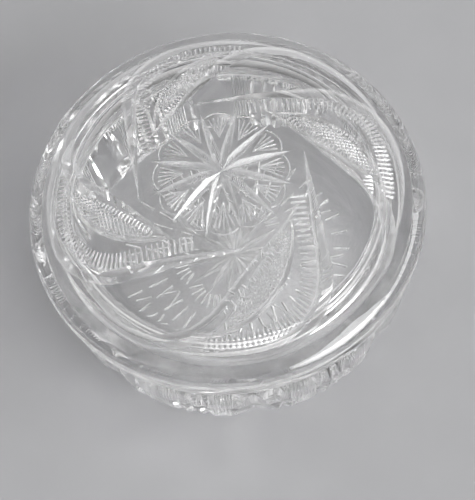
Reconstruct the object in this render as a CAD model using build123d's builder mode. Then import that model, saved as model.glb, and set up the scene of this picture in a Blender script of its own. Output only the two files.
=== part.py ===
import os
from math import atan2, cos, degrees, radians, sin, sqrt
from build123d import *

os.makedirs("parts", exist_ok=True)

# Heights and radii of the two pieces, in millimetres, bottom of the foot at zero
seat_height = 48.0
lid_radius = 70.0
lid_top = 75.0
dome_radius = 132.0
lid_thickness = 6.0
edge_round_upper = 8.0
edge_round_lower = 2.0
ring_outer_radius = 57.4
ring_inner_radius = 54.2
ring_drop = 4.0
ring_round = 0.8
hollow_round = 5.0

wall_radius = 67.5
wall_centre_height = 24.0
mouth_radius = 58.2
floor_radius = 56.6
floor_height = 9.0
floor_round = 9.0
rim_round = 0.9
foot_round = 1.2

# Star in the middle of the lid
star_rays = 12
star_turn = 10.0
star_depth = 1.25
star_tip_radius = 24.5
star_half_angle = 50.0
fan_cuts = 5
fan_spread = 12.0
fan_start_radius = 12.6
fan_length = 8.6
fan_depths = (0.12, 0.38)
fan_half_angle = 42.0
scallop_radii = (21.6, 23.0)
scallop_half_span = 12.6
scallop_depth = 0.28

# Hook-shaped mitres that swirl around the star: a run out from it, a bend and a run along the edge
hook_count = 8
hook_offset = 28.6
hook_tip = 6.0
hook_bend_radius = 25.0
hook_edge_radius = 60.6
hook_edge_sweep = 33.0
hook_half_angle = 52.0
hook_run_depths = (0.0, 1.15, 2.1)
hook_bend_depths = (2.1, 2.2, 1.7)
hook_edge_depths = (1.7, 1.1, 0.05)
cut_overlap = 1.5

# Leaf beside every other hook, and the ladder of notches inside the next one
panel_count = 4
leaf_tip = (20.2, -21.3)
leaf_crown = (13.6, -40.8)
leaf_tail = (-14.7, -53.6)
leaf_depths = (0.35, 1.0, 0.35)
leaf_half_angle = 48.0
hatch_pitch = 1.2
hatch_lean = 36.0
hatch_depth = 0.36
hatch_half_angle = 43.0
hatch_margins = (3.3, 1.2)
tooth_pitch = 1.5
tooth_offsets = (1.0, 3.2)
tooth_depths = (0.55, 0.3)
tooth_half_angle = 42.0
ladder_pitch = 1.9
ladder_start = 13.0
ladder_tail = 24.0
ladder_offsets = (2.4, 7.4)
ladder_depths = (0.5, 0.3)
ladder_half_angle = 48.0

# Upright cuts round the wall of the bowl: a broad arch, slender mitres and fine flutes in each panel
wall_panels = 8
arch_turn = -1.0
arch_heights = (36.5, 20.0, -2.0)
arch_depths = (0.0, 2.2, 2.2)
arch_half_angle = 75.0
mitre_turns = (9.0, 21.5, 25.7, 29.9)
mitre_heights = (34.5, 18.0, -2.0)
mitre_depths = (0.05, 0.95, 0.9)
mitre_half_angle = 64.0
flute_first_turns = (11.6, 32.2)
flute_counts = (8, 6)
flute_pitch = 1.05
flute_heights = (32.5, 17.0, 2.0)
flute_depths = (0.2, 0.36, 0.2)
flute_half_angle = 45.0

# Star ground into the underside of the foot, and fans of broken strokes around it
foot_turn = 4.0
foot_rays = 16
foot_ray_radius = 20.0
foot_star_depth = 1.8
foot_ray_half_angle = 55.0
foot_fans = 8
foot_fan_radius = 13.0
foot_fan_leans = (-44.0, -28.0, -14.0, 0.0, 14.0, 28.0, 44.0)
foot_strokes = ((5.4, 10.6), (14.6, 22.5), (25.5, 31.5))
foot_stroke_depth = 0.5
foot_stroke_half_angle = 50.0

# How far the cutters stand above the valley they leave
deep_reach = 5.0
fine_reach = 1.6
hatch_reach = 0.85

dome_centre = Vector(0, 0, lid_top - dome_radius)
wall_centre = Vector(0, 0, wall_centre_height)


def dome_point(x, y, depth=0.0):
    """Point under plan position (x, y) of the dome, sunk along the dome's normal."""
    on_dome = Vector(x, y, dome_centre.Z + sqrt(dome_radius**2 - x**2 - y**2))
    return dome_centre + (on_dome - dome_centre).normalized() * (dome_radius - depth)


def wall_point(turn, height, depth=0.0):
    """Point of the bowl's wall at a turn about the axis and a height, sunk along the wall's normal."""
    reach = sqrt(wall_radius**2 - (height - wall_centre_height) ** 2)
    on_wall = Vector(reach * cos(radians(turn)), reach * sin(radians(turn)), height)
    return wall_centre + (on_wall - wall_centre).normalized() * (wall_radius - depth)


def straight_cut(start, finish, centre, half_angle, reach):
    """V-shaped prism whose valley runs from start to finish and opens away from centre."""
    along = (finish - start).normalized()
    outward = ((start + finish) * 0.5 - centre).normalized()
    outward = (outward - along * outward.dot(along)).normalized()
    half_width = reach * sin(radians(half_angle)) / cos(radians(half_angle))
    section = Plane(origin=start, x_dir=outward.cross(along), z_dir=along)
    with BuildPart() as cutter:
        with BuildSketch(section):
            Polygon((0, 0), (half_width, reach), (-half_width, reach), align=None)
        extrude(amount=(finish - start).length)
    return cutter.part


def circle_hub(start, middle, finish):
    """Centre of the circle through three points."""
    first, second = middle - start, finish - start
    spread = first.cross(second)
    weighted = spread.cross(first) * second.dot(second) + second.cross(spread) * first.dot(first)
    return start + weighted * (0.5 / spread.dot(spread))


def curved_cut(start, middle, finish, centre, half_angle, reach):
    """V-shaped ring segment whose valley is the arc through three points, opening away from centre."""
    axis = (middle - start).cross(finish - middle).normalized()
    hub = circle_hub(start, middle, finish)
    radius = (start - hub).length
    out_start, out_middle, out_finish = [(p - hub).normalized() for p in (start, middle, finish)]
    sweep = degrees(atan2(axis.dot(out_start.cross(out_finish)), out_start.dot(out_finish))) % 360.0
    opening = (middle - centre).normalized()
    lean = atan2(opening.dot(axis), opening.dot(out_middle))
    flank = reach / cos(radians(half_angle))
    corners = [(radius, 0.0)]
    for side in (1, -1):
        angle = lean + side * radians(half_angle)
        corners.append((radius + flank * cos(angle), flank * sin(angle)))
    section = Plane(origin=hub, x_dir=out_start, z_dir=out_start.cross(axis))
    with BuildPart() as cutter:
        with BuildSketch(section):
            Polygon(*corners, align=None)
        revolve(axis=Axis(hub, axis), revolution_arc=sweep)
    return cutter.part


def turned(x, y, angle):
    """Plan position turned about the axis."""
    c, s = cos(radians(angle)), sin(radians(angle))
    return c * x - s * y, s * x + c * y


# Plan of one hook: the straight run goes down at hook_offset, the bend ends tangent to the edge run
bend_x = hook_offset - hook_bend_radius
bend_y = -sqrt((hook_edge_radius - hook_bend_radius) ** 2 - bend_x**2)
bend_end = degrees(atan2(bend_y, bend_x))


def bend_position(angle, inset=0.0):
    """Plan position on the hook's bend, moved towards the bend's centre by inset."""
    radius = hook_bend_radius - inset
    return bend_x + radius * cos(radians(angle)), bend_y + radius * sin(radians(angle))


def edge_position(angle, inset=0.0):
    """Plan position on the hook's run along the edge, moved towards the axis by inset."""
    radius = hook_edge_radius - inset
    return radius * cos(radians(angle)), radius * sin(radians(angle))


def hook_position(travel, inset):
    """Plan position along the whole hook from the level of its tangent point, moved inwards by inset."""
    bend_length = hook_bend_radius * radians(-bend_end)
    if travel < -bend_y:
        return hook_offset - inset, -travel
    if travel < -bend_y + bend_length:
        return bend_position(-degrees((travel + bend_y) / hook_bend_radius), inset)
    return edge_position(bend_end - degrees((travel + bend_y - bend_length) / hook_edge_radius), inset)


# Cutters for the lid: one ray of the star, then the fan and the scallop beside it
star_centre, star_tip = Vector(0, 0, lid_top - star_depth), dome_point(star_tip_radius, 0)
star_cut = straight_cut(
    star_centre - (star_tip - star_centre).normalized() * cut_overlap,
    star_tip,
    dome_centre,
    star_half_angle,
    deep_reach,
)

fan_and_scallop = []
half_pitch = 180.0 / star_rays
for cut in range(fan_cuts):
    lean = fan_spread * (cut - (fan_cuts - 1) / 2)
    x, y = turned(fan_length, 0, lean)
    fan_and_scallop.append(
        straight_cut(
            dome_point(*turned(fan_start_radius, 0, half_pitch), fan_depths[0]),
            dome_point(*turned(fan_start_radius + x, y, half_pitch), fan_depths[1]),
            dome_centre,
            fan_half_angle,
            fine_reach,
        )
    )
fan_and_scallop.append(
    curved_cut(
        dome_point(*turned(scallop_radii[0], 0, half_pitch - scallop_half_span), scallop_depth),
        dome_point(*turned(scallop_radii[1], 0, half_pitch), scallop_depth),
        dome_point(*turned(scallop_radii[0], 0, half_pitch + scallop_half_span), scallop_depth),
        dome_centre,
        leaf_half_angle,
        fine_reach,
    )
)

edge_start = bend_end + degrees(cut_overlap / hook_edge_radius)
edge_end = bend_end - hook_edge_sweep
hook_run = [(hook_offset, y) for y in (hook_tip, (hook_tip + bend_y) / 2, bend_y - cut_overlap)]
hook_bend = [bend_position(angle) for angle in (0.0, bend_end / 2, bend_end)]
hook_edge = [edge_position(angle) for angle in (edge_start, (edge_start + edge_end) / 2, edge_end)]
hook_cuts = []
for plan, depths in (
    (hook_run, hook_run_depths),
    (hook_bend, hook_bend_depths),
    (hook_edge, hook_edge_depths),
):
    valley = [dome_point(*place, depth) for place, depth in zip(plan, depths)]
    hook_cuts.append(curved_cut(*valley, dome_centre, hook_half_angle, deep_reach))

panel_cuts = [
    curved_cut(
        dome_point(*leaf_tip, leaf_depths[0]),
        dome_point(*leaf_crown, leaf_depths[1]),
        dome_point(*leaf_tail, leaf_depths[2]),
        dome_centre,
        leaf_half_angle,
        fine_reach,
    )
]
ladder_end = -bend_y + hook_bend_radius * radians(-bend_end) + ladder_tail
for notch in range(int((ladder_end - ladder_start) / ladder_pitch)):
    travel = ladder_start + notch * ladder_pitch
    panel_cuts.append(
        straight_cut(
            dome_point(*hook_position(travel, ladder_offsets[0]), ladder_depths[0]),
            dome_point(*hook_position(travel, ladder_offsets[1]), ladder_depths[1]),
            dome_centre,
            ladder_half_angle,
            fine_reach,
        )
    )

# Fine hatching inside the leaf, in two directions, and teeth on the edge of the hook beside it
beside_turn = -360.0 / hook_count
beside = Vector(*turned(1.0, 0.0, beside_turn))
leaf_points = [Vector(*p) for p in (leaf_tip, leaf_crown, leaf_tail)]
leaf_hub = circle_hub(*leaf_points)
leaf_reach = (leaf_points[0] - leaf_hub).length - hatch_margins[1]
leaf_run = (leaf_points[2] - leaf_points[0]).normalized()
hatch_cuts = []
for lean in (hatch_lean, -hatch_lean):
    line = Vector(*turned(leaf_run.X, leaf_run.Y, lean))
    across = Vector(-line.Y, line.X)
    line_count = int(leaf_reach / hatch_pitch)
    one_way = []
    for step in range(-line_count, line_count + 1):
        foot = leaf_hub + across * (step * hatch_pitch)
        half = sqrt(leaf_reach**2 - (step * hatch_pitch) ** 2)
        limit = (hook_offset + hatch_margins[0] - foot.dot(beside)) / line.dot(beside)
        near, far = (max(-half, limit), half) if line.dot(beside) > 0 else (-half, min(half, limit))
        if far - near > hatch_pitch:
            start, finish = foot + line * near, foot + line * far
            one_way.append(
                straight_cut(
                    dome_point(start.X, start.Y, hatch_depth),
                    dome_point(finish.X, finish.Y, hatch_depth),
                    dome_centre,
                    hatch_half_angle,
                    hatch_reach,
                )
            )
    hatch_cuts.append(one_way)

tooth_cuts = []
for tooth in range(int(-bend_y / tooth_pitch)):
    inner = turned(hook_offset + tooth_offsets[0], -tooth * tooth_pitch, beside_turn)
    outer = turned(hook_offset + tooth_offsets[1], -tooth * tooth_pitch, beside_turn)
    if (Vector(*outer) - leaf_hub).length < leaf_reach:
        tooth_cuts.append(
            straight_cut(
                dome_point(*inner, tooth_depths[0]),
                dome_point(*outer, tooth_depths[1]),
                dome_centre,
                tooth_half_angle,
                fine_reach,
            )
        )

# Cutters for the wall of the bowl: every valley runs straight up the wall
def upright_cut(turn, heights, depths, half_angle, reach):
    """Cut up the wall at a turn from the arch's middle, with its depth at three heights."""
    valley = [wall_point(arch_turn + turn, height, depth) for height, depth in zip(heights, depths)]
    return curved_cut(*valley, wall_centre, half_angle, reach)


wall_cuts = [upright_cut(0.0, arch_heights, arch_depths, arch_half_angle, deep_reach)]
for turn in mitre_turns:
    wall_cuts.append(upright_cut(turn, mitre_heights, mitre_depths, mitre_half_angle, deep_reach))
for first_turn, count in zip(flute_first_turns, flute_counts):
    for flute in range(count):
        turn = first_turn + flute * flute_pitch
        wall_cuts.append(upright_cut(turn, flute_heights, flute_depths, flute_half_angle, fine_reach))

# Cutters for one ray of the foot's star, deepest at the axis, and for the strokes of one fan
def foot_cut(start, finish, half_angle, reach):
    """Straight cut into the foot, opening downwards."""
    above = (start + finish) * 0.5 + Vector(0, 0, lid_top)
    return straight_cut(start, finish, above, half_angle, reach)


foot_ray_cut = foot_cut(
    Vector(0, 0, foot_star_depth), Vector(foot_ray_radius, 0, 0), foot_ray_half_angle, deep_reach
)
foot_fan_cuts = []
for lean in foot_fan_leans:
    for stroke in foot_strokes:
        ends = [turned(distance, 0, lean) for distance in stroke]
        near, far = [Vector(foot_fan_radius + x, y, foot_stroke_depth) for x, y in ends]
        foot_fan_cuts.append(foot_cut(near, far, foot_stroke_half_angle, fine_reach))

# Lid: shallow dome with a rounded edge, a flat seat and a ring that drops into the mouth
with BuildPart() as lid:
    with BuildSketch(Plane.XZ):
        with BuildLine():
            edge_top = dome_point(lid_radius, 0).Z
            half_chord = lid_radius / 2
            Polyline(
                (0, lid_top - lid_thickness),
                (0, lid_top),
            )
            ThreePointArc((0, lid_top), (half_chord, dome_point(half_chord, 0).Z), (lid_radius, edge_top))
            Polyline(
                (lid_radius, edge_top),
                (lid_radius, seat_height),
                (ring_outer_radius, seat_height),
                (ring_outer_radius, seat_height - ring_drop),
                (ring_inner_radius, seat_height - ring_drop),
            )
            hollow_radius = dome_radius - lid_thickness
            hollow_top = dome_centre.Z + sqrt(hollow_radius**2 - ring_inner_radius**2)
            hollow_middle = dome_centre.Z + sqrt(hollow_radius**2 - (ring_inner_radius / 2) ** 2)
            Line((ring_inner_radius, seat_height - ring_drop), (ring_inner_radius, hollow_top))
            ThreePointArc(
                (ring_inner_radius, hollow_top),
                (ring_inner_radius / 2, hollow_middle),
                (0, lid_top - lid_thickness),
            )
        make_face()
        corners = vertices()
        fillet(corners.sort_by_distance((lid_radius, edge_top))[0], edge_round_upper)
        fillet(vertices().sort_by_distance((lid_radius, seat_height))[0], edge_round_lower)
        fillet(vertices().sort_by_distance((ring_outer_radius, seat_height - ring_drop))[0], ring_round)
        fillet(vertices().sort_by_distance((ring_inner_radius, seat_height - ring_drop))[0], ring_round)
        fillet(vertices().sort_by_distance((ring_inner_radius, hollow_top))[0], hollow_round)
    revolve(axis=Axis.Z)
    with PolarLocations(0, star_rays, start_angle=star_turn):
        add(star_cut, clean=False, mode=Mode.SUBTRACT)
        add(fan_and_scallop, clean=False, mode=Mode.SUBTRACT)
    with PolarLocations(0, hook_count):
        add(hook_cuts, clean=False, mode=Mode.SUBTRACT)
    with PolarLocations(0, panel_count):
        add(panel_cuts, clean=False, mode=Mode.SUBTRACT)
        add(tooth_cuts, clean=False, mode=Mode.SUBTRACT)
        for one_way in hatch_cuts:
            add(one_way, clean=False, mode=Mode.SUBTRACT)

# Bowl: squat ball-shaped wall, straight inside, flat foot
with BuildPart() as bowl:
    with BuildSketch(Plane.XZ):
        with BuildLine():
            foot_radius = sqrt(wall_radius**2 - wall_centre_height**2)
            rim_radius = sqrt(wall_radius**2 - (seat_height - wall_centre_height) ** 2)
            Polyline((0, floor_height), (0, 0), (foot_radius, 0))
            ThreePointArc((foot_radius, 0), (wall_radius, wall_centre_height), (rim_radius, seat_height))
            Polyline(
                (rim_radius, seat_height),
                (mouth_radius, seat_height),
                (floor_radius, floor_height),
                (0, floor_height),
            )
        make_face()
        fillet(vertices().sort_by_distance((foot_radius, 0))[0], foot_round)
        fillet(vertices().sort_by_distance((rim_radius, seat_height))[0], rim_round)
        fillet(vertices().sort_by_distance((mouth_radius, seat_height))[0], rim_round)
        fillet(vertices().sort_by_distance((floor_radius, floor_height))[0], floor_round)
    revolve(axis=Axis.Z)
    with PolarLocations(0, wall_panels):
        add(wall_cuts, clean=False, mode=Mode.SUBTRACT)
    with PolarLocations(0, foot_rays, start_angle=foot_turn):
        add(foot_ray_cut, clean=False, mode=Mode.SUBTRACT)
    with PolarLocations(0, foot_fans, start_angle=foot_turn):
        add(foot_fan_cuts, clean=False, mode=Mode.SUBTRACT)

lid.part.label = "lid"
export_step(lid.part, "parts/lid.step")
bowl.part.label = "bowl"
export_step(bowl.part, "parts/bowl.step")
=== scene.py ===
from math import acos, asin, atan2, cos, pi, radians, sin, sqrt, tan

import bpy
from mathutils import Matrix, Vector


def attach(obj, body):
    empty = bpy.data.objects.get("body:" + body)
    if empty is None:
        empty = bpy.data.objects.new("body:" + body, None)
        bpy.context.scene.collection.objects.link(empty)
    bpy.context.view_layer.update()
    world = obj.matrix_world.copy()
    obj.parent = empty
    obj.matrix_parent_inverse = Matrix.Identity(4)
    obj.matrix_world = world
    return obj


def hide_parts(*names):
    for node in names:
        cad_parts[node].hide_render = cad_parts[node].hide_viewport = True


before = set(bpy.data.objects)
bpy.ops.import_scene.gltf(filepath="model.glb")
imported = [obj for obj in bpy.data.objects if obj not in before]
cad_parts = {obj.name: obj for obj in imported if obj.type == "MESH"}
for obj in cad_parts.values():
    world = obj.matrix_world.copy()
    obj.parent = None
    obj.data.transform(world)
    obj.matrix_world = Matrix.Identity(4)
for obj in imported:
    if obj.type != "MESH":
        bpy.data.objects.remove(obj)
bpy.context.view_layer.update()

MM = 0.001

# Sizes of the lid, in metres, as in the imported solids
SEAT_HEIGHT = 48.0 * MM
LID_RADIUS = 70.0 * MM
LID_TOP = 75.0 * MM
DOME_RADIUS = 132.0 * MM
LID_THICKNESS = 6.0 * MM
EDGE_ROUND_UPPER = 8.0 * MM
EDGE_ROUND_LOWER = 2.0 * MM
RING_OUTER = 57.4 * MM
RING_INNER = 54.2 * MM
RING_DROP = 4.0 * MM
RING_ROUND = 0.8 * MM
HOLLOW_ROUND = 5.0 * MM
SEAT_GAP = 0.04 * MM
SEAT_EDGE = 62.5 * MM

# Sizes of the bowl
WALL_RADIUS = 67.5 * MM
WALL_CENTRE = 24.0 * MM
MOUTH_RADIUS = 58.2 * MM
FLOOR_RADIUS = 56.6 * MM
FLOOR_HEIGHT = 9.0 * MM
FLOOR_ROUND = 9.0 * MM
RIM_ROUND = 0.9 * MM
FOOT_ROUND = 1.2 * MM

# Star and fans in the middle of the lid
STAR_RAYS = 12
STAR_TURN = radians(10)
STAR_DEPTH = 1.25 * MM
STAR_TIP = 24.5 * MM
STAR_FLARE = radians(50)
FAN_CUTS = 5
FAN_SPREAD = radians(12)
FAN_START = 12.6 * MM
FAN_LENGTH = 8.6 * MM
FAN_DEPTHS = (0.12 * MM, 0.38 * MM)
FAN_FLARE = radians(42)
SCALLOP_RADII = (21.6 * MM, 23.0 * MM)
SCALLOP_SPAN = radians(12.6)
SCALLOP_DEPTH = 0.28 * MM

# Hooked mitres around the star: a run out from it, a bend and a run along the edge
HOOKS = 8
HOOK_OFFSET = 28.6 * MM
HOOK_TIP = 6.0 * MM
HOOK_BEND = 25.0 * MM
HOOK_EDGE = 60.6 * MM
HOOK_TAIL = radians(33)
HOOK_FLARE = radians(52)
RUN_DEPTHS = (0.0, 1.15 * MM, 2.1 * MM)
BEND_DEPTHS = (2.1 * MM, 2.2 * MM, 1.7 * MM)
TAIL_DEPTHS = (1.7 * MM, 1.1 * MM, 0.05 * MM)
CUT_OVERLAP = 1.5 * MM

# Leaf beside every other hook, its hatching and the ladder inside the next hook
PANELS = 4
LEAF_TIP = (20.2 * MM, -21.3 * MM)
LEAF_CROWN = (13.6 * MM, -40.8 * MM)
LEAF_TAIL = (-14.7 * MM, -53.6 * MM)
LEAF_DEPTHS = (0.35 * MM, 1.0 * MM, 0.35 * MM)
LEAF_FLARE = radians(48)
HATCH_PITCH = 1.2 * MM
HATCH_DEPTH = 0.36 * MM
HATCH_FLARE = radians(43)
HATCH_LEAN = radians(36)
HATCH_MARGINS = (3.3 * MM, 1.2 * MM)
TOOTH_PITCH = 1.5 * MM
TOOTH_OFFSETS = (1.0 * MM, 3.2 * MM)
TOOTH_DEPTHS = (0.55 * MM, 0.3 * MM)
TOOTH_FLARE = radians(42)
LADDER_PITCH = 1.9 * MM
LADDER_START = 13.0 * MM
LADDER_TAIL = 24.0 * MM
LADDER_OFFSETS = (2.4 * MM, 7.4 * MM)
LADDER_DEPTHS = (0.5 * MM, 0.3 * MM)
LADDER_FLARE = radians(48)

# Upright cuts round the wall of the bowl: a broad arch, slender mitres and fine flutes in each panel
WALL_PANELS = 8
ARCH_TURN = radians(-1)
ARCH_HEIGHTS = (36.5 * MM, 20.0 * MM, -2.0 * MM)
ARCH_DEPTHS = (0.0, 2.2 * MM, 2.2 * MM)
ARCH_FLARE = radians(75)
MITRE_TURNS = (radians(9), radians(21.5), radians(25.7), radians(29.9))
MITRE_HEIGHTS = (34.5 * MM, 18.0 * MM, -2.0 * MM)
MITRE_DEPTHS = (0.05 * MM, 0.95 * MM, 0.9 * MM)
MITRE_FLARE = radians(64)
FLUTE_STARTS = (radians(11.6), radians(32.2))
FLUTE_COUNTS = (8, 6)
FLUTE_PITCH = radians(1.05)
FLUTE_HEIGHTS = (32.5 * MM, 17.0 * MM, 2.0 * MM)
FLUTE_DEPTHS = (0.2 * MM, 0.36 * MM, 0.2 * MM)
FLUTE_FLARE = radians(45)

# Star ground into the underside of the foot, and fans of broken strokes around it
FOOT_TURN = radians(4)
FOOT_RAYS = 16
FOOT_RAY = 20.0 * MM
FOOT_DEPTH = 1.8 * MM
FOOT_FLARE = radians(55)
FOOT_FANS = 8
FOOT_FAN_RADIUS = 13.0 * MM
FOOT_FAN_LEANS = (-44, -28, -14, 0, 14, 28, 44)
FOOT_STROKES = ((5.4 * MM, 10.6 * MM), (14.6 * MM, 22.5 * MM), (25.5 * MM, 31.5 * MM))
STROKE_DEPTH = 0.5 * MM
STROKE_FLARE = radians(50)
FOOT_PATTERN = 46.0 * MM

# How far a grinding wheel stands above the valley it leaves
DEEP = 3.2 * MM
MEDIUM = 1.6 * MM
FINE = 0.62 * MM
HATCH = 0.85 * MM

# How finely the glass is turned and the wheels are bent
TURN_STEPS = 256
DOME_STEPS = 64
WALL_STEPS = 48
BROAD_ROUND_STEPS = 14
MIDDLE_ROUND_STEPS = 10
SMALL_ROUND_STEPS = 6
RING_ROUND_STEPS = 5
WHEEL_STEPS = 32
LONG_WHEEL_STEPS = 48
SCALLOP_STEPS = 12
MERGE_GAP = 0.002 * MM
CREASE = radians(14)

# Finishes: grain, detail, span of the noise and roughness from the clearest to the most matt places
POLISH = (140, 4, 0.35, 0.75, 0.0, 0.02)
SILK = (420, 3, 0.3, 0.7, 0.05, 0.12)
FROST = (900, 2, 0.3, 0.7, 0.15, 0.25)

# Refraction of the glass, milkiness of silky cuts and the faint ripple of hand polishing
GLASS_IOR = 1.54
MILK = 0.25
RIPPLE_GRAIN = 60
RIPPLE_STRENGTH = 0.08
RIPPLE_HEIGHT = 0.4 * MM

# Where the finishes go: depths at which a cut begins, and the deepest cuts of each piece
CUT_BEGINS = (0.02 * MM, 0.07 * MM)
DEEPEST_LID_CUT = 4.0 * MM
DEEPEST_WALL_CUT = 3.0 * MM
FINISH_MARGIN = 0.1 * MM
WALL_FOOT = 1.3 * FOOT_ROUND
WALL_RIM = SEAT_HEIGHT - 1.3 * RIM_ROUND
RIM_FLAT = SEAT_HEIGHT - 0.2 * RIM_ROUND

# Depths between which a deep cut turns clear, and how much silk is left at its bottom
CLEARING = (0.45 * MM, 0.9 * MM)
CLEAR_SHARE = 0.25

# Plain table under the bowl
TABLE_SIZE = 30.0
TABLE_DROP = 0.05 * MM
TABLE_TONES = ((0.38, 0.38, 0.39, 1), (0.41, 0.41, 0.42, 1))
TABLE_GRAIN = 40
TABLE_ROUGHNESS = 0.7

# Brightness of the dim room around and of the ceiling, and the heights between which it brightens
ROOM = (0.03, 1.1)
ROOM_HEIGHTS = (0.45, 0.9)

# Lamps: shape, place, width, height and power; their narrow cone keeps the floor under them plain
RIGHT_LAMP = ("RECTANGLE", (3.08, -0.47, 1.15), 2.28, 0.9, 12)
FRONT_RIGHT_LAMP = ("ELLIPSE", (2.02, -2.19, 1.85), 3.0, 1.6, 23)
LEFT_LAMP = ("RECTANGLE", (-2.82, 1.62, 1.43), 4.5, 2.1, 3)
RIM_LAMP = ("ELLIPSE", (2.15, -2.33, 1.4), 3.2, 1.6, 32)
LAMP_SPREAD = radians(90)

# Camera of the photograph, placed in lid radii from the middle of the lid's widest edge
WIDEST_HEIGHT = 51.3 * MM
CAMERA_PLACE = Vector((0.0195, -2.569, 5.072))
CAMERA_ELEVATION = radians(65.66)
CAMERA_ROLL = radians(8.85)
CAMERA_LENS = 81.36
CAMERA_SENSOR = 36
CAMERA_NEAREST = 0.01

DOME_CENTRE = Vector((0, 0, LID_TOP - DOME_RADIUS))
BALL_CENTRE = Vector((0, 0, WALL_CENTRE))


def dome_point(x, y, depth=0.0):
    """Point under a plan position of the dome, sunk along the dome's normal."""
    on_dome = Vector((x, y, DOME_CENTRE.z + sqrt(DOME_RADIUS**2 - x * x - y * y)))
    return DOME_CENTRE + (on_dome - DOME_CENTRE).normalized() * (DOME_RADIUS - depth)


def wall_point(turn, height, depth=0.0):
    """Point of the bowl's wall at a turn and a height, sunk along the wall's normal."""
    reach = sqrt(WALL_RADIUS**2 - (height - WALL_CENTRE) ** 2)
    on_wall = Vector((reach * cos(turn), reach * sin(turn), height))
    return BALL_CENTRE + (on_wall - BALL_CENTRE).normalized() * (WALL_RADIUS - depth)


def turned(x, y, angle):
    """Plan position turned about the axis."""
    return cos(angle) * x - sin(angle) * y, sin(angle) * x + cos(angle) * y


def arc(centre, radius, first, last, steps):
    """Points (radius, height) on a profile's arc, angles counted from the axis outwards."""
    at = [first + (last - first) * k / steps for k in range(steps + 1)]
    return [(centre[0] + radius * sin(a), centre[1] + radius * cos(a)) for a in at]


def lathe(name, profile):
    """A closed body turned from profile points (radius, height) that start and end on the axis."""
    bpy.ops.object.select_all(action="DESELECT")
    bpy.ops.mesh.primitive_plane_add(size=MM)
    body = bpy.context.object
    body.name = body.data.name = name
    bpy.ops.object.mode_set(mode="EDIT")
    bpy.ops.mesh.merge(type="CENTER")
    bpy.ops.transform.translate(value=(profile[0][0], 0, profile[0][1]))
    for here, there in zip(profile, profile[1:]):
        step = (there[0] - here[0], 0, there[1] - here[1])
        bpy.ops.mesh.extrude_vertices_move(TRANSFORM_OT_translate={"value": step})
    bpy.ops.mesh.select_all(action="SELECT")
    bpy.ops.mesh.spin(steps=TURN_STEPS, angle=2 * pi, center=(0, 0, 0), axis=(0, 0, 1))
    bpy.ops.mesh.select_all(action="SELECT")
    bpy.ops.mesh.remove_doubles(threshold=MERGE_GAP)
    bpy.ops.mesh.normals_make_consistent(inside=False)
    bpy.ops.object.mode_set(mode="OBJECT")
    return body


def wheel_edge(valley, outward, along, flare, reach):
    """A filled triangle that stands on its point at valley and opens outwards."""
    bpy.ops.object.select_all(action="DESELECT")
    radius = reach / 1.5  # a triangle stands one and a half radii high
    bpy.ops.mesh.primitive_circle_add(vertices=3, radius=radius, fill_type="NGON")
    wheel = bpy.context.object
    axes = Matrix((along.cross(outward), -outward, along)).transposed().to_4x4()
    widen = Matrix.Diagonal((tan(flare) * sqrt(3), 1, 1, 1))
    wheel.matrix_world = Matrix.Translation(valley + outward * radius) @ axes @ widen
    bpy.ops.object.transform_apply(location=True, rotation=True, scale=True)
    bpy.ops.object.mode_set(mode="EDIT")
    bpy.ops.mesh.select_all(action="SELECT")
    return wheel


def straight_wheel(start, finish, centre, flare, reach):
    """Wheel for a straight V-cut whose valley runs from start to finish, opening away from centre."""
    along = (finish - start).normalized()
    outward = (start + finish) / 2 - centre
    outward = (outward - along * outward.dot(along)).normalized()
    wheel = wheel_edge(start, outward, along, flare, reach)
    bpy.ops.mesh.extrude_region_move(TRANSFORM_OT_translate={"value": finish - start})
    bpy.ops.mesh.select_all(action="SELECT")
    bpy.ops.mesh.normals_make_consistent(inside=False)
    bpy.ops.object.mode_set(mode="OBJECT")
    return wheel


def curved_wheel(start, middle, finish, centre, flare, reach, steps=WHEEL_STEPS):
    """Wheel for a V-cut whose valley is the arc through three points, opening away from centre."""
    first, second = middle - start, finish - start
    spread = first.cross(second)
    axis = spread.normalized()
    hub = spread.cross(first) * second.dot(second) + second.cross(spread) * first.dot(first)
    hub = start + hub / (2 * spread.dot(spread))
    out_start, out_middle, out_finish = [(p - hub).normalized() for p in (start, middle, finish)]
    sweep = atan2(axis.dot(out_start.cross(out_finish)), out_start.dot(out_finish)) % (2 * pi)
    opening = (middle - centre).normalized()
    lean = atan2(opening.dot(axis), opening.dot(out_middle))
    outward = out_start * cos(lean) + axis * sin(lean)
    wheel = wheel_edge(start, outward, axis.cross(out_start), flare, reach)
    bpy.ops.mesh.spin(steps=steps, angle=-sweep, center=hub, axis=axis)
    bpy.ops.mesh.select_all(action="SELECT")
    bpy.ops.mesh.normals_make_consistent(inside=False)
    bpy.ops.object.mode_set(mode="OBJECT")
    return wheel


def round_the_axis(wheels, count, first=0.0, sweep=2 * pi):
    """Every wheel and its copies turned about the axis."""
    copies = []
    for wheel in wheels:
        for k in range(count):
            copy = wheel.copy()
            copy.data = wheel.data.copy()
            copy.data.transform(Matrix.Rotation(first + sweep * k / count, 4, "Z"))
            bpy.context.collection.objects.link(copy)
            copies.append(copy)
        bpy.data.objects.remove(wheel)
    return copies


def grind(body, wheels):
    """Takes all the wheels out of the glass at one go; wheels of one go don't meet each other."""
    bpy.ops.object.select_all(action="DESELECT")
    for wheel in wheels:
        wheel.select_set(True)
    tool = bpy.context.view_layer.objects.active = wheels[0]
    if len(wheels) > 1:
        bpy.ops.object.join()
    cut = body.modifiers.new("cut", "BOOLEAN")
    cut.operation = "DIFFERENCE"
    cut.solver = "MANIFOLD"
    cut.object = tool
    bpy.ops.object.select_all(action="DESELECT")
    body.select_set(True)
    bpy.context.view_layer.objects.active = body
    bpy.ops.object.modifier_apply(modifier=cut.name)
    bpy.data.objects.remove(tool)


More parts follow.
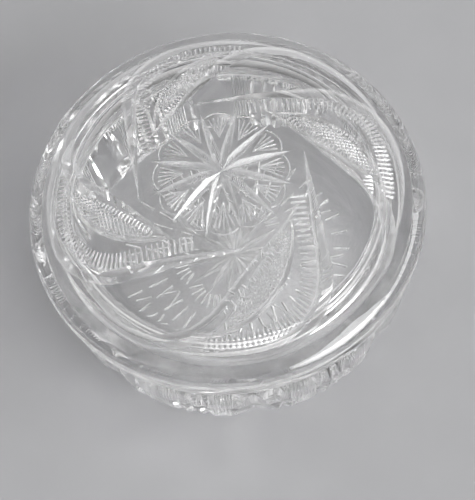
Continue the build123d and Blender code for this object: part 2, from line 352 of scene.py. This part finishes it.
def grind_by_turns(body, wheels, count, first=0.0):
    """Grinds an even number of copies round the axis in two goes, so that neighbours don't meet."""
    copies = round_the_axis(wheels, count, first)
    grind(body, copies[0::2])
    grind(body, copies[1::2])


def polish(body):
    """Smooth faces with crisp cut edges."""
    bpy.ops.object.select_all(action="DESELECT")
    body.select_set(True)
    bpy.context.view_layer.objects.active = body
    bpy.ops.object.shade_smooth_by_angle(angle=CREASE)


# Plan of one hook: the straight run goes down at HOOK_OFFSET, the bend ends tangent to the edge run
BEND_X = HOOK_OFFSET - HOOK_BEND
BEND_Y = -sqrt((HOOK_EDGE - HOOK_BEND) ** 2 - BEND_X**2)
BEND_END = atan2(BEND_Y, BEND_X)


def bend_position(angle, inset=0.0):
    radius = HOOK_BEND - inset
    return BEND_X + radius * cos(angle), BEND_Y + radius * sin(angle)


def edge_position(angle, inset=0.0):
    radius = HOOK_EDGE - inset
    return radius * cos(angle), radius * sin(angle)


def hook_position(travel, inset):
    """Plan position along the whole hook, moved towards its inner side by inset."""
    bend_length = -HOOK_BEND * BEND_END
    if travel < -BEND_Y:
        return HOOK_OFFSET - inset, -travel
    if travel < -BEND_Y + bend_length:
        return bend_position(-(travel + BEND_Y) / HOOK_BEND, inset)
    return edge_position(BEND_END - (travel + BEND_Y - bend_length) / HOOK_EDGE, inset)


def lid_profile():
    """Section of the lid from the top of the dome round to the top of the hollow."""
    top = DOME_CENTRE.z
    round_x = LID_RADIUS - EDGE_ROUND_UPPER
    round_z = top + sqrt((DOME_RADIUS - EDGE_ROUND_UPPER) ** 2 - round_x**2)
    shoulder = asin(round_x / (DOME_RADIUS - EDGE_ROUND_UPPER))
    seat = SEAT_HEIGHT + SEAT_GAP
    low = seat + EDGE_ROUND_LOWER
    ring_low = SEAT_HEIGHT - RING_DROP + RING_ROUND
    hollow = DOME_RADIUS - LID_THICKNESS
    hollow_x = RING_INNER - HOLLOW_ROUND
    hollow_angle = asin(hollow_x / (hollow - HOLLOW_ROUND))
    hollow_z = top + sqrt((hollow - HOLLOW_ROUND) ** 2 - hollow_x**2)
    points = arc((0, top), DOME_RADIUS, 0, shoulder, DOME_STEPS)
    points += arc((round_x, round_z), EDGE_ROUND_UPPER, shoulder, pi / 2, BROAD_ROUND_STEPS)[1:]
    low_x = LID_RADIUS - EDGE_ROUND_LOWER
    points += arc((low_x, low), EDGE_ROUND_LOWER, pi / 2, pi, MIDDLE_ROUND_STEPS)
    points += [(RING_OUTER, seat)]
    points += arc((RING_OUTER - RING_ROUND, ring_low), RING_ROUND, pi / 2, pi, RING_ROUND_STEPS)
    points += arc((RING_INNER + RING_ROUND, ring_low), RING_ROUND, pi, 1.5 * pi, RING_ROUND_STEPS)
    points += arc((hollow_x, hollow_z), HOLLOW_ROUND, pi / 2, hollow_angle, MIDDLE_ROUND_STEPS)
    points += arc((0, top), hollow, hollow_angle, 0, DOME_STEPS)[1:]
    points[-1] = (0, top + hollow)
    return points


def leaf_circle():
    """Centre and radius of the clear border inside the leaf's arc, in plan."""
    a, b, c = [Vector(p) for p in (LEAF_TIP, LEAF_CROWN, LEAF_TAIL)]
    ab, ac = b - a, c - a
    twice = 2 * ab.cross(ac)
    x = (ac.y * ab.dot(ab) - ab.y * ac.dot(ac)) / twice
    y = (ab.x * ac.dot(ac) - ac.x * ab.dot(ab)) / twice
    return a + Vector((x, y)), Vector((x, y)).length - HATCH_MARGINS[1]


def leaf_hatching(lean):
    """Ends of the fine hatching lines inside one leaf, leaning one way across it."""
    hub, reach = leaf_circle()
    beside = Vector(turned(1, 0, -2 * pi / HOOKS))
    run = (Vector(LEAF_TAIL) - Vector(LEAF_TIP)).normalized()
    line = Vector(turned(run.x, run.y, lean))
    across = Vector((-line.y, line.x))
    count = int(reach / HATCH_PITCH)
    lines = []
    for k in range(-count, count + 1):
        foot = hub + across * (k * HATCH_PITCH)
        half = sqrt(reach**2 - (k * HATCH_PITCH) ** 2)
        limit = (HOOK_OFFSET + HATCH_MARGINS[0] - foot.dot(beside)) / line.dot(beside)
        near, far = (max(-half, limit), half) if line.dot(beside) > 0 else (-half, min(half, limit))
        if far - near > HATCH_PITCH:
            lines.append((foot + line * near, foot + line * far))
    return lines


def leaf_teeth():
    """Ends of the teeth on the edge of the hook beside the leaf."""
    hub, reach = leaf_circle()
    teeth = []
    for k in range(int(-BEND_Y / TOOTH_PITCH)):
        ends = [(HOOK_OFFSET + x, -k * TOOTH_PITCH) for x in TOOTH_OFFSETS]
        inner, outer = [turned(x, y, -2 * pi / HOOKS) for x, y in ends]
        if (Vector(outer) - hub).length < reach:
            teeth.append((inner, outer))
    return teeth


def make_lid():
    """Domed lid with its star, fans, hooks, leaves and ladders ground in."""
    lid = lathe("lid_glass", lid_profile())
    middle, tip = Vector((0, 0, LID_TOP - STAR_DEPTH)), dome_point(STAR_TIP, 0)
    middle -= (tip - middle).normalized() * CUT_OVERLAP
    for k in range(STAR_RAYS):
        ray = straight_wheel(middle, tip, DOME_CENTRE, STAR_FLARE, DEEP)
        grind(lid, round_the_axis([ray], 1, STAR_TURN + 2 * pi * k / STAR_RAYS))
    between = pi / STAR_RAYS
    for k in range(FAN_CUTS):
        x, y = turned(FAN_LENGTH, 0, FAN_SPREAD * (k - (FAN_CUTS - 1) / 2))
        fan = straight_wheel(
            dome_point(*turned(FAN_START, 0, between), FAN_DEPTHS[0]),
            dome_point(*turned(FAN_START + x, y, between), FAN_DEPTHS[1]),
            DOME_CENTRE, FAN_FLARE, FINE,
        )
        grind(lid, round_the_axis([fan], STAR_RAYS, STAR_TURN))
    scallop = curved_wheel(
        dome_point(*turned(SCALLOP_RADII[0], 0, between - SCALLOP_SPAN), SCALLOP_DEPTH),
        dome_point(*turned(SCALLOP_RADII[1], 0, between), SCALLOP_DEPTH),
        dome_point(*turned(SCALLOP_RADII[0], 0, between + SCALLOP_SPAN), SCALLOP_DEPTH),
        DOME_CENTRE, LEAF_FLARE, FINE, SCALLOP_STEPS,
    )
    grind_by_turns(lid, [scallop], STAR_RAYS, STAR_TURN)
    edge_start, edge_end = BEND_END + CUT_OVERLAP / HOOK_EDGE, BEND_END - HOOK_TAIL
    run = [(HOOK_OFFSET, y) for y in (HOOK_TIP, (HOOK_TIP + BEND_Y) / 2, BEND_Y - CUT_OVERLAP)]
    bend = [bend_position(a) for a in (0, BEND_END / 2, BEND_END)]
    tail = [edge_position(a) for a in (edge_start, (edge_start + edge_end) / 2, edge_end)]
    for plan, depths in ((run, RUN_DEPTHS), (bend, BEND_DEPTHS), (tail, TAIL_DEPTHS)):
        valley = [dome_point(*place, depth) for place, depth in zip(plan, depths)]
        hook = curved_wheel(*valley, DOME_CENTRE, HOOK_FLARE, DEEP, LONG_WHEEL_STEPS)
        grind_by_turns(lid, [hook], HOOKS)
    leaf = curved_wheel(
        dome_point(*LEAF_TIP, LEAF_DEPTHS[0]),
        dome_point(*LEAF_CROWN, LEAF_DEPTHS[1]),
        dome_point(*LEAF_TAIL, LEAF_DEPTHS[2]),
        DOME_CENTRE, LEAF_FLARE, MEDIUM, LONG_WHEEL_STEPS,
    )
    grind(lid, round_the_axis([leaf], PANELS))
    ladder_end = -BEND_Y - HOOK_BEND * BEND_END + LADDER_TAIL
    rungs = []
    for k in range(int((ladder_end - LADDER_START) / LADDER_PITCH)):
        travel = LADDER_START + k * LADDER_PITCH
        rungs.append(straight_wheel(
            dome_point(*hook_position(travel, LADDER_OFFSETS[0]), LADDER_DEPTHS[0]),
            dome_point(*hook_position(travel, LADDER_OFFSETS[1]), LADDER_DEPTHS[1]),
            DOME_CENTRE, LADDER_FLARE, FINE,
        ))
    grind(lid, round_the_axis(rungs[0::2], PANELS))
    grind(lid, round_the_axis(rungs[1::2], PANELS))
    teeth = [
        straight_wheel(
            dome_point(*inner, TOOTH_DEPTHS[0]),
            dome_point(*outer, TOOTH_DEPTHS[1]),
            DOME_CENTRE, TOOTH_FLARE, FINE,
        )
        for inner, outer in leaf_teeth()
    ]
    grind(lid, round_the_axis(teeth, PANELS))
    for lean in (HATCH_LEAN, -HATCH_LEAN):
        lines = [
            straight_wheel(
                dome_point(*start, HATCH_DEPTH),
                dome_point(*end, HATCH_DEPTH),
                DOME_CENTRE, HATCH_FLARE, HATCH,
            )
            for start, end in leaf_hatching(lean)
        ]
        grind(lid, round_the_axis(lines[0::2], PANELS))
        grind(lid, round_the_axis(lines[1::2], PANELS))
    polish(lid)
    return lid


def bowl_profile():
    """Section of the bowl from the middle of the foot, up the wall and down inside to the floor."""
    foot_x = sqrt((WALL_RADIUS - FOOT_ROUND) ** 2 - (WALL_CENTRE - FOOT_ROUND) ** 2)
    foot_angle = pi - asin(foot_x / (WALL_RADIUS - FOOT_ROUND))
    rim_z = SEAT_HEIGHT - RIM_ROUND
    rim_x = sqrt((WALL_RADIUS - RIM_ROUND) ** 2 - (rim_z - WALL_CENTRE) ** 2)
    rim_angle = acos((rim_z - WALL_CENTRE) / (WALL_RADIUS - RIM_ROUND))
    lean = atan2(MOUTH_RADIUS - FLOOR_RADIUS, SEAT_HEIGHT - FLOOR_HEIGHT)
    mouth_x = MOUTH_RADIUS + RIM_ROUND
    floor_x = FLOOR_RADIUS - FLOOR_ROUND * (1 - sin(lean)) / cos(lean)
    points = [(0, 0), (foot_x, 0)]
    points += arc((foot_x, FOOT_ROUND), FOOT_ROUND, pi, foot_angle, SMALL_ROUND_STEPS)[1:]
    points += arc((0, WALL_CENTRE), WALL_RADIUS, foot_angle, rim_angle, WALL_STEPS)[1:]
    points += arc((rim_x, rim_z), RIM_ROUND, rim_angle, 0, SMALL_ROUND_STEPS)[1:]
    points += arc((mouth_x, rim_z), RIM_ROUND, 0, -pi / 2 - lean, SMALL_ROUND_STEPS)
    floor_z = FLOOR_HEIGHT + FLOOR_ROUND
    points += arc((floor_x, floor_z), FLOOR_ROUND, pi / 2 + lean, pi, BROAD_ROUND_STEPS)
    points += [(0, FLOOR_HEIGHT)]
    return points


def upright_wheel(turn, heights, depths, flare, reach):
    """Wheel for a cut that runs straight up the wall, at a turn from the middle of an arch."""
    valley = [wall_point(ARCH_TURN + turn, height, depth) for height, depth in zip(heights, depths)]
    return curved_wheel(*valley, BALL_CENTRE, flare, reach)


def foot_wheel(start, finish, flare, reach):
    """Wheel for a straight cut into the foot, opening downwards."""
    above = (start + finish) / 2 + Vector((0, 0, LID_TOP))
    return straight_wheel(start, finish, above, flare, reach)


def foot_strokes():
    """Wheels for the broken strokes of one fan on the foot."""
    wheels = []
    for lean in FOOT_FAN_LEANS:
        for stroke in FOOT_STROKES:
            ends = [turned(distance, 0, radians(lean)) for distance in stroke]
            near, far = [Vector((FOOT_FAN_RADIUS + x, y, STROKE_DEPTH)) for x, y in ends]
            wheels.append(foot_wheel(near, far, STROKE_FLARE, FINE))
    return wheels


def make_bowl():
    """Bowl with its arches, mitres and flutes ground in, and the star and fans of the foot."""
    bowl = lathe("bowl_glass", bowl_profile())
    arch = upright_wheel(0, ARCH_HEIGHTS, ARCH_DEPTHS, ARCH_FLARE, DEEP)
    grind(bowl, round_the_axis([arch], WALL_PANELS))
    mitres = [
        upright_wheel(turn, MITRE_HEIGHTS, MITRE_DEPTHS, MITRE_FLARE, MEDIUM)
        for turn in MITRE_TURNS
    ]
    flutes = [
        upright_wheel(first + k * FLUTE_PITCH, FLUTE_HEIGHTS, FLUTE_DEPTHS, FLUTE_FLARE, FINE)
        for first, count in zip(FLUTE_STARTS, FLUTE_COUNTS)
        for k in range(count)
    ]
    for wheels in (mitres[0::2], mitres[1::2], flutes[0::2], flutes[1::2]):
        grind(bowl, round_the_axis(wheels, WALL_PANELS))
    for k in range(FOOT_RAYS):
        ray = foot_wheel(Vector((0, 0, FOOT_DEPTH)), Vector((FOOT_RAY, 0, 0)), FOOT_FLARE, DEEP)
        grind(bowl, round_the_axis([ray], 1, FOOT_TURN + 2 * pi * k / FOOT_RAYS))
    grind_by_turns(bowl, foot_strokes(), FOOT_FANS, FOOT_TURN)
    polish(bowl)
    return bowl


def number(tree, operation, *terms):
    """Math node fed with sockets or plain numbers."""
    node = tree.nodes.new("ShaderNodeMath")
    node.operation = operation
    for socket, term in zip(node.inputs, terms):
        if isinstance(term, (int, float)):
            socket.default_value = term
        else:
            tree.links.new(term, socket)
    return node.outputs["Value"]


def ramp(tree, value, low, high, bottom=0.0, top=1.0):
    """Goes from bottom where the value is low to top where it is high."""
    node = tree.nodes.new("ShaderNodeMapRange")
    for name, term in zip(("From Min", "From Max", "To Min", "To Max"), (low, high, bottom, top)):
        node.inputs[name].default_value = term
    tree.links.new(value, node.inputs["Value"])
    return node.outputs["Result"]


def noise(tree, vector, scale, detail):
    """Noise over the surface."""
    node = tree.nodes.new("ShaderNodeTexNoise")
    node.inputs["Scale"].default_value = scale
    node.inputs["Detail"].default_value = detail
    tree.links.new(vector, node.inputs["Vector"])
    return node.outputs["Fac"]


def depth_below(tree, place, centre, radius):
    """How deep a place lies under the surface of a ball."""
    node = tree.nodes.new("ShaderNodeVectorMath")
    node.operation = "DISTANCE"
    tree.links.new(place, node.inputs[0])
    node.inputs[1].default_value = centre
    return number(tree, "SUBTRACT", radius, node.outputs["Value"])


def sunk(tree, depth, deepest):
    """1 on the cuts, 0 on the surface that they are ground into and on anything deeper."""
    below = ramp(tree, depth, *CUT_BEGINS)
    return number(tree, "MULTIPLY", below, number(tree, "LESS_THAN", depth, deepest))


def plan_radius(tree, parts):
    """Distance from the axis."""
    across = number(tree, "MULTIPLY", parts["X"], parts["X"])
    along = number(tree, "MULTIPLY", parts["Y"], parts["Y"])
    return number(tree, "SQRT", number(tree, "ADD", across, along))


def lid_cuts(tree, place, parts):
    """1 on the fine cuts of the dome and on the edges of the deep ones, less further down."""
    depth = depth_below(tree, place, DOME_CENTRE, DOME_RADIUS)
    inside = number(tree, "LESS_THAN", plan_radius(tree, parts), LID_RADIUS - EDGE_ROUND_UPPER)
    cuts = number(tree, "MULTIPLY", sunk(tree, depth, DEEPEST_LID_CUT), inside)
    return number(tree, "MULTIPLY", cuts, ramp(tree, depth, *CLEARING, 1.0, CLEAR_SHARE))


def bowl_cuts(tree, place, parts):
    """1 on the flutes of the wall and on the star of the foot; arches and mitres are polished."""
    height = parts["Z"]
    above = number(tree, "GREATER_THAN", height, WALL_FOOT)
    below = number(tree, "LESS_THAN", height, WALL_RIM)
    wall = sunk(tree, depth_below(tree, place, BALL_CENTRE, WALL_RADIUS), DEEPEST_WALL_CUT)
    wall = number(tree, "MULTIPLY", wall, number(tree, "MULTIPLY", above, below))
    turn = number(tree, "SUBTRACT", number(tree, "ARCTAN2", parts["Y"], parts["X"]), ARCH_TURN)
    turn = number(tree, "FLOORED_MODULO", turn, 2 * pi / WALL_PANELS)
    columns = [
        number(tree, "COMPARE", turn, first + FLUTE_PITCH * (count - 1) / 2, FLUTE_PITCH * count / 2)
        for first, count in zip(FLUTE_STARTS, FLUTE_COUNTS)
    ]
    wall = number(tree, "MULTIPLY", wall, number(tree, "MAXIMUM", *columns))
    inside = number(tree, "LESS_THAN", plan_radius(tree, parts), FOOT_PATTERN)
    raised = ramp(tree, height, *CUT_BEGINS)
    low = number(tree, "LESS_THAN", height, FOOT_DEPTH + FINISH_MARGIN)
    star = number(tree, "MULTIPLY", raised, low)
    return number(tree, "MAXIMUM", wall, number(tree, "MULTIPLY", star, inside))


def lid_seat(tree, parts):
    """1 on the lid's ring and on the part of its seat that rests on the bowl."""
    low = number(tree, "LESS_THAN", parts["Z"], SEAT_HEIGHT + FINISH_MARGIN)
    inside = number(tree, "LESS_THAN", plan_radius(tree, parts), SEAT_EDGE)
    return number(tree, "MULTIPLY", low, inside)


def bowl_seat(tree, parts):
    """1 on the flat rim of the bowl."""
    return number(tree, "GREATER_THAN", parts["Z"], RIM_FLAT)


def blend(tree, factor, below, above):
    """Goes from one value to another with a factor."""
    node = tree.nodes.new("ShaderNodeMix")
    for name, term in zip(("Factor", "A", "B"), (factor, below, above)):
        tree.links.new(term, node.inputs[name])
    return node.outputs["Result"]


def uneven(tree, vector, grain, detail, low, high, clearest, roughest):
    """Roughness of one finish, uneven over the surface."""
    return ramp(tree, noise(tree, vector, grain, detail), low, high, clearest, roughest)


def crystal(name, seed, cuts, seat):
    """Colourless lead crystal: surfaces polished, cuts left a little silky, the seat ground matt."""
    material = bpy.data.materials.new(name)
    material.use_nodes = True
    tree = material.node_tree
    shader = tree.nodes["Principled BSDF"]
    shader.inputs["Base Color"].default_value = (1.0, 1.0, 1.0, 1)
    shader.inputs["IOR"].default_value = GLASS_IOR
    place = tree.nodes.new("ShaderNodeTexCoord").outputs["Object"]
    parts = tree.nodes.new("ShaderNodeSeparateXYZ")
    tree.links.new(place, parts.inputs["Vector"])
    shift = tree.nodes.new("ShaderNodeMapping")
    shift.inputs["Location"].default_value = (seed, -seed, seed / 2)
    tree.links.new(place, shift.inputs["Vector"])
    moved = shift.outputs["Vector"]
    polished, silky, frosted = [uneven(tree, moved, *finish) for finish in (POLISH, SILK, FROST)]
    ground = cuts(tree, place, parts.outputs)
    finish = blend(tree, ground, polished, silky)
    finish = blend(tree, seat(tree, parts.outputs), finish, frosted)
    tree.links.new(finish, shader.inputs["Roughness"])
    tree.links.new(ramp(tree, ground, 0, 1, 1.0, 1.0 - MILK), shader.inputs["Transmission Weight"])
    bump = tree.nodes.new("ShaderNodeBump")
    bump.inputs["Strength"].default_value = RIPPLE_STRENGTH
    bump.inputs["Distance"].default_value = RIPPLE_HEIGHT
    tree.links.new(noise(tree, moved, RIPPLE_GRAIN, 1), bump.inputs["Height"])
    tree.links.new(bump.outputs["Normal"], shader.inputs["Normal"])
    return material


def table_top():
    """Plain pale floor under the bowl."""
    bpy.ops.object.select_all(action="DESELECT")
    bpy.ops.mesh.primitive_plane_add(size=TABLE_SIZE, location=(0, 0, -TABLE_DROP))
    floor = bpy.context.object
    floor.name = "floor"
    bpy.ops.object.transform_apply(location=True, rotation=True, scale=True)
    material = bpy.data.materials.new("pale_table")
    material.use_nodes = True
    nodes, links = material.node_tree.nodes, material.node_tree.links
    shader = nodes["Principled BSDF"]
    shader.inputs["Roughness"].default_value = TABLE_ROUGHNESS
    shader.inputs["Specular IOR Level"].default_value = 0.0
    place = nodes.new("ShaderNodeTexCoord")
    grain = nodes.new("ShaderNodeTexNoise")
    grain.inputs["Scale"].default_value = TABLE_GRAIN
    tone = nodes.new("ShaderNodeMix")
    tone.data_type = "RGBA"
    tone.inputs["A"].default_value, tone.inputs["B"].default_value = TABLE_TONES
    links.new(place.outputs["Object"], grain.inputs["Vector"])
    links.new(grain.outputs["Fac"], tone.inputs["Factor"])
    links.new(tone.outputs["Result"], shader.inputs["Base Color"])
    floor.data.materials.append(material)


def soft_light(name, shape, place, width, height, power):
    """A soft studio lamp at place, turned to the bowl."""
    bpy.ops.object.light_add(type="AREA", location=place)
    lamp = bpy.context.object
    lamp.name = name
    lamp.data.shape = shape
    lamp.data.size = width
    lamp.data.size_y = height
    lamp.data.energy = power
    lamp.data.spread = LAMP_SPREAD
    aim = Vector((0, 0, SEAT_HEIGHT)) - Vector(place)
    lamp.rotation_euler = aim.to_track_quat("-Z", "Y").to_euler()
    return lamp


def studio():
    """Soft lamps on both sides, one that only mirrors in the rim, and a room lit from above."""
    soft_light("right_lamp", *RIGHT_LAMP)
    soft_light("front_right_lamp", *FRONT_RIGHT_LAMP)
    soft_light("left_lamp", *LEFT_LAMP)
    rim_lamp = soft_light("rim_lamp", *RIM_LAMP)
    rim_lamp.visible_diffuse = False
    rim_lamp.visible_transmission = False
    world = bpy.data.worlds.new("room")
    bpy.context.scene.world = world
    world.use_nodes = True
    tree = world.node_tree
    place = tree.nodes.new("ShaderNodeTexCoord").outputs["Generated"]
    parts = tree.nodes.new("ShaderNodeSeparateXYZ")
    tree.links.new(place, parts.inputs["Vector"])
    glow = ramp(tree, parts.outputs["Z"], *ROOM_HEIGHTS, *ROOM)
    tree.links.new(glow, tree.nodes["Background"].inputs["Color"])


def photo_camera():
    """Camera above the front edge, looking down, a little rolled, as in the photograph."""
    place = Vector((0, 0, WIDEST_HEIGHT)) + CAMERA_PLACE * LID_RADIUS
    right = Vector((1, 0, 0))
    up = Vector((0, sin(CAMERA_ELEVATION), cos(CAMERA_ELEVATION)))
    back = Vector((0, -cos(CAMERA_ELEVATION), sin(CAMERA_ELEVATION)))
    side = right * cos(CAMERA_ROLL) - up * sin(CAMERA_ROLL)
    top = right * sin(CAMERA_ROLL) + up * cos(CAMERA_ROLL)
    data = bpy.data.cameras.new("photo_camera")
    data.sensor_width = CAMERA_SENSOR
    data.lens = CAMERA_LENS
    data.clip_start = CAMERA_NEAREST
    camera = bpy.data.objects.new("photo_camera", data)
    bpy.context.collection.objects.link(camera)
    camera.matrix_world = Matrix.Translation(place) @ Matrix((side, top, back)).transposed().to_4x4()
    bpy.context.scene.camera = camera


lid_glass = make_lid()
lid_glass.data.materials.clear()
lid_glass.data.materials.append(crystal("lid_cut_crystal", 0.31, lid_cuts, lid_seat))
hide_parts("lid")
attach(lid_glass, "lid")

bowl_glass = make_bowl()
bowl_glass.data.materials.clear()
bowl_glass.data.materials.append(crystal("bowl_cut_crystal", 0.77, bowl_cuts, bowl_seat))
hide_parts("bowl")
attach(bowl_glass, "bowl")

table_top()
studio()
photo_camera()

scene = bpy.context.scene
scene.view_settings.view_transform = "Standard"
scene.cycles.max_bounces = 32
scene.cycles.transmission_bounces = 32
scene.cycles.glossy_bounces = 16
scene.cycles.blur_glossy = 0
